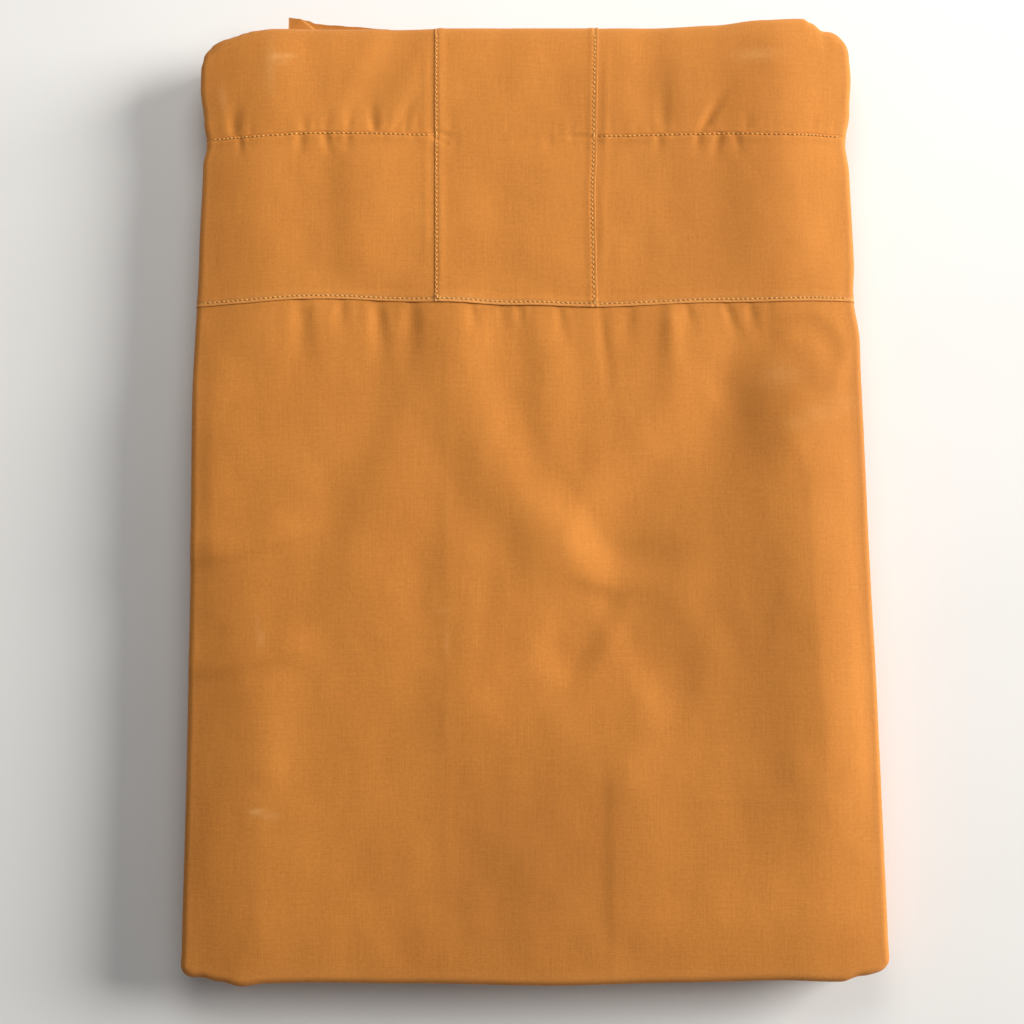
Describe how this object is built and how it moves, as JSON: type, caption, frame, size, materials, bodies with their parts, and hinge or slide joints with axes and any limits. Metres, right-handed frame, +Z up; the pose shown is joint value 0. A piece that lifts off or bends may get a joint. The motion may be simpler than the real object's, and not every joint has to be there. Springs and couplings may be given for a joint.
{
  "type": "folded buddhist monk robe",
  "caption": "Plain-weave patchwork robe folded into a flat rectangular packet, with a stitched strip crossing the upper end.",
  "frame": {"origin": "centre of the box that the folded packet fills, on the surface that it lies on", "axes": "+X across the packet to its right side, +Y along it to the end with the stitched strips, +Z up through the layers"},
  "size_m": [0.2853, 0.4181, 0.0283],
  "materials": {
    "robe_cloth": "saffron plain-weave cloth with a faint sheen",
    "strip_cloth": "the same cloth as the field, sewn on as strips with folded edges",
    "layer_cloth": "the same cloth, folded edges of the inner layers",
    "thread": "pale gold sewing thread"
  },
  "bodies": {
    "root": {"field_panel": "robe_cloth", "upper_block_left": "robe_cloth", "upper_block_right": "robe_cloth", "cross_strip_left": "strip_cloth", "cross_strip_right": "strip_cloth", "upright_strip": "strip_cloth", "inner_corner": "robe_cloth", "hidden_layers": "layer_cloth"}
  },
  "joints": []
}
